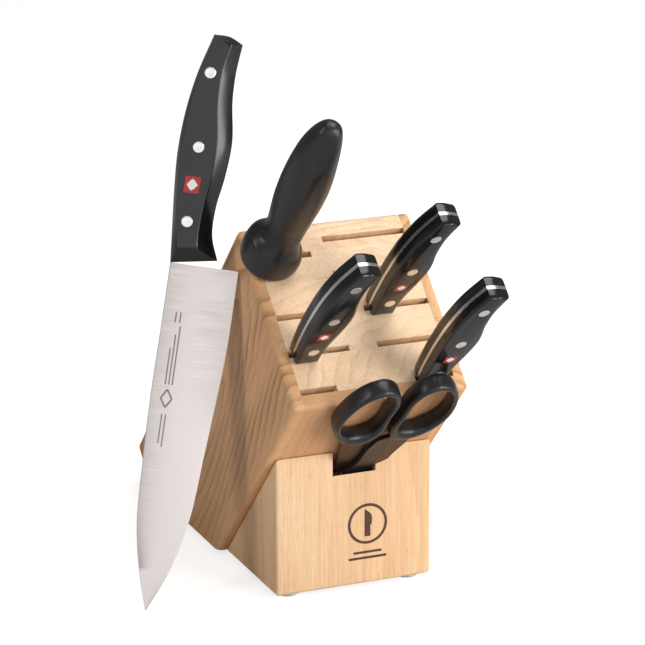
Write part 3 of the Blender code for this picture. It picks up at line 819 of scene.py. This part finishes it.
def build_base_mark():
    """A plain emblem burnt into the base's front: a ring with a knife in it, over short bars."""
    place = front_place(SLAB_ORIGIN.x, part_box("base_left_board")[0].y)
    x, z = EMBLEM_CENTRE
    turns = [2 * math.pi * k / EMBLEM_SIDES for k in range(EMBLEM_SIDES)]
    inner = EMBLEM_RADIUS - EMBLEM_LINE
    rings = []
    for radius, height in ((EMBLEM_RADIUS, -PRINT_DEPTH), (EMBLEM_RADIUS, PRINT_RISE),
                           (inner, PRINT_RISE), (inner, -PRINT_DEPTH)):
        rings.append([((x + radius * math.cos(a)) * MM, (z + radius * math.sin(a)) * MM, height * MM)
                      for a in turns])
    mesh = loft("base_emblem_ring", rings, ends_meet=True)
    new_piece("base_emblem_ring", mesh, place, BRAND_BROWN, "block")
    knife = [(x + p.x, z + p.y) for p in bend(EMBLEM_KNIFE, 4)]
    flat_shape("base_emblem_knife", knife, -PRINT_DEPTH, PRINT_RISE, place, BRAND_BROWN, "block")
    for count, (below, half) in enumerate(EMBLEM_BARS, 1):
        bar(f"base_emblem_bar_{count}", (x - half, z - below), (x + half, z - below), EMBLEM_BAR_WIDTH, 0,
            place, BRAND_BROWN, "block")


def build_blade_mark(place):
    """Plain etched lines along the chef's blade, with one open lozenge, a hair off its side."""
    for count, (x, low, high) in enumerate(ETCH_LINES, 1):
        bar(f"chef_knife_etch_{count}", (x, low), (x, high), ETCH_WIDTH, ETCH_HEIGHT, place, ETCH,
            "chef_knife")
    x, y, reach = ETCH_LOZENGE
    half = reach * ETCH_LOZENGE_SHARE
    corners = [(x, y - reach), (x + half, y), (x, y + reach), (x - half, y)]
    for k in range(4):
        bar(f"chef_knife_lozenge_{k + 1}", corners[k], corners[(k + 1) % 4], LOZENGE_WIDTH, ETCH_HEIGHT,
            place, ETCH, "chef_knife")


# ---------------------------------------------------------------- honing steel

def thumb_press(height, c, s):
    """How deep the thumb rest presses the handle in, at a height and a turn's cosine and sine."""
    along, reach, side, spread, dent = THUMB_REST
    if s <= 0:
        return 0.0
    return dent * math.exp(-((height - along) / reach) ** 4 - ((c - side) / spread) ** 4)


def build_steel():
    """The honing steel's moulded handle, over the CAD rod."""
    local = SLAB.inverted() @ middle_of("honing_steel_rod")
    place = SLAB @ Matrix.Translation((local.x, 0, local.z))
    across, wide, deep = (bend([(ring[0], ring[k]) for ring in STEEL_RINGS], 6, False) for k in (1, 2, 3))
    collar_height, collar_reach = STEEL_COLLAR
    rings = []
    for shift, half, depth in zip(across, wide, deep):
        collar = max(0.0, 1.0 - abs(shift.x - collar_height) / collar_reach)
        ring = []
        for k in range(STEEL_SIDES):
            turn = 2 * math.pi * k / STEEL_SIDES
            c, s = math.cos(turn), math.sin(turn)
            lift = STEEL_COLLAR_LIFT * collar * collar * -c
            ring.append(((shift.y + half.y * c) * MM, (shift.x + lift) * MM,
                         (depth.y * s - thumb_press(shift.x, c, s)) * MM))
        rings.append(ring)
    tip = rings[-1]
    centre = [sum(point[i] for point in tip) / len(tip) for i in range(3)]
    rings.append([[c * 0.9 + p * 0.1 for c, p in zip(centre, point)] for point in tip])
    new_piece("honing_steel_grip", loft("honing_steel_grip", rings), place, SATIN_BLACK, "honing_steel",
              ["honing_steel_handle"])
    dress("honing_steel_rod", BLADE_STEEL)


# ---------------------------------------------------------------- shears

def toothed(line):
    """The line with small teeth on its right-hand side."""
    result = []
    for a, b in zip(line, line[1:]):
        step = b - a
        if step.length < 1e-6:
            continue
        outward = Vector((step.y, -step.x)).normalized()
        count = max(1, round(step.length / TOOTH_PITCH))
        for k in range(count):
            result.append(a + step * (k / count))
            result.append(a + step * ((k + 0.5) / count) + outward * TOOTH_HEIGHT)
    return result + [line[-1]]


def build_shank(side, sign, place):
    """One half from the pivot to its loop, in steel painted with a dark reflection, and the ribbed jaw in the
    right one, black with painted shade.
    """
    groove_edge = SHANK_GROOVE_EDGE[side]
    outer = [Vector((groove_edge, SHANK_FOOT)), Vector((groove_edge, SHANK_LIP))]
    outer += bend(SHANK_OUTER, 3, False)
    if side == "left":
        inner = toothed(bend(SHANK_INNER, 2, False))
    else:
        inner = [Vector((-p.x, p.y)) for p in bend(RIGHT_SHANK_INNER, 3, False)]
    outline = [(p.x * sign, p.y) for p in inner + outer[::-1]]
    low, high = sorted((-sign * PLATE[0], -sign * PLATE[1]))
    half = f"shears_{side}"
    flat_shape(f"{half}_shank", outline, low, high, place, SHANK_PAINTED_REFLECTION, half)
    if side == "right":
        jaw = bend(JAW, 2, False)
        teeth = [(p.x, p.y) for p in toothed(jaw[::-1])]
        # The jaw's teeth are real; its black is painted shade for the deep gap between the shanks.
        flat_shape(f"{half}_jaw", teeth, low, high - JAW_INSET, place, SATIN_BLACK, half)


def loop_rings(sign):
    """The sections round one handle loop: ovals between its outer line and its hole, a little square."""
    rings = []
    for a, b in zip(bend(LOOP_OUTER, 6), bend(LOOP_HOLE, 6)):
        middle, reach = (a + b) / 2, (a - b) / 2
        ring = []
        for k in range(LOOP_SIDES):
            turn = 2 * math.pi * k / LOOP_SIDES
            c, s = (math.copysign(abs(v) ** LOOP_SQUARENESS, v) for v in (math.cos(turn), math.sin(turn)))
            point = middle + reach * c
            ring.append((point.x * sign * MM, point.y * MM, LOOP_HALF * s * MM))
        rings.append(ring)
    return rings


def build_shears():
    """The shears' loops and shanks, over the CAD blades and pivot."""
    y = Matrix.Rotation(-SHEARS_TILT, 3, FRONTWARD) @ ALONG
    x = y.cross(FRONTWARD).normalized()
    place = matrix(x, y, FRONTWARD, Vector(JOINTS["shears_left_turn"]["pos_m"]))
    for side, sign in (("left", 1), ("right", -1)):
        mesh = loft(f"shears_{side}_grip", loop_rings(sign), ends_meet=True, angle=60)
        new_piece(f"shears_{side}_grip", mesh, place, SATIN_BLACK, f"shears_{side}",
                  [f"shears_{side}_loop"])
        dress(f"shears_{side}_blade", BLADE_STEEL)
        build_shank(side, sign, place)
    dress("shears_pivot_screw", RIVET_STEEL)
    dress("shears_pivot_nut", RIVET_STEEL)


# ---------------------------------------------------------------- studio

# The camera, found with the CAD: what it looks at from the slab's origin, where it stands from there, its
# lens in millimetres and its roll in degrees.
CAMERA_TARGET = Vector((-0.012127, -0.026624, -0.052891))
CAMERA_STAND = Vector((-0.610393, -1.457186, 0.46627))
CAMERA_LENS = 160.25
CAMERA_ROLL = -0.207
WORLD_STRENGTH = 0.22
PAPER_GREY = (0.62, 0.62, 0.62)
PAPER_GLOW = 0.72
LIGHTS_AIM = Vector((0.02, -0.02, 0.13))
# Each light's place, its sides in metres and its power in watts.
LIGHTS = {
    "key": ((1.15, -2.45, 0.80), (0.9, 1.5), 43.0),
    "panel": ((-0.65, -2.7, 0.55), (2.3, 1.4), 10.6),
    "top": ((0.7, -0.4, 2.3), (1.5, 1.5), 29.0),
    "left_strip": ((-2.0, -0.6, 1.0), (0.4, 1.4), 9.5),
    "right_strip": ((1.25, -0.98, 0.30), (0.5, 0.56), 6.0),
}


def softbox(name, location, sides, power):
    """A rectangular light turned to the object."""
    light = bpy.data.lights.new(name, "AREA")
    light.shape = "RECTANGLE"
    light.size, light.size_y = sides
    light.energy = power
    lamp = bpy.data.objects.new(name, light)
    bpy.context.scene.collection.objects.link(lamp)
    lamp.location = location
    lamp.rotation_euler = (LIGHTS_AIM - lamp.location).to_track_quat("-Z", "Y").to_euler()


def build_floor():
    """A pale floor that shows white to the camera alone, and lights the object as paper does."""
    floor = bpy.data.objects.new("studio_floor", box_mesh((-9, -6, -0.02), (9, 12, 0)))
    bpy.context.scene.collection.objects.link(floor)
    paper = Nodes("pale_paper")
    paper.set(Roughness=0.9, Specular_IOR_Level=0.1, Base_Color=PAPER_GREY, Emission_Color=(1, 1, 1))
    seen = paper.add("ShaderNodeLightPath").outputs["Is Camera Ray"]
    paper.link(paper.math("MULTIPLY", seen, PAPER_GLOW), paper.shader.inputs["Emission Strength"])
    floor.data.materials.append(paper.material)


def build_camera():
    """The photo's camera."""
    target = SLAB_ORIGIN + CAMERA_TARGET
    data = bpy.data.cameras.new("camera")
    data.lens = CAMERA_LENS
    data.sensor_width = 36
    data.clip_end = 50
    camera = bpy.data.objects.new("camera", data)
    bpy.context.scene.collection.objects.link(camera)
    camera.location = target + CAMERA_STAND
    aim = (target - camera.location).to_track_quat("-Z", "Y").to_matrix().to_4x4()
    roll = Matrix.Rotation(math.radians(CAMERA_ROLL), 4, "Z")
    camera.matrix_world = Matrix.Translation(camera.location) @ aim @ roll
    bpy.context.scene.camera = camera


def build_studio():
    """A bright plain studio, with the photo's camera and soft lights."""
    scene = bpy.context.scene
    scene.view_settings.view_transform = "Standard"
    scene.world = bpy.data.worlds.new("studio")
    scene.world.use_nodes = True
    background = scene.world.node_tree.nodes["Background"]
    background.inputs["Color"].default_value = (1, 1, 1, 1)
    background.inputs["Strength"].default_value = WORLD_STRENGTH
    build_floor()
    build_camera()
    for name, (location, sides, power) in LIGHTS.items():
        softbox(name, Vector(location), sides, power)


build_slab()
build_base()
build_base_mark()
build_small_knives()
build_chef_knife()
build_steel()
build_shears()
build_studio()

bpy.context.view_layer.update()
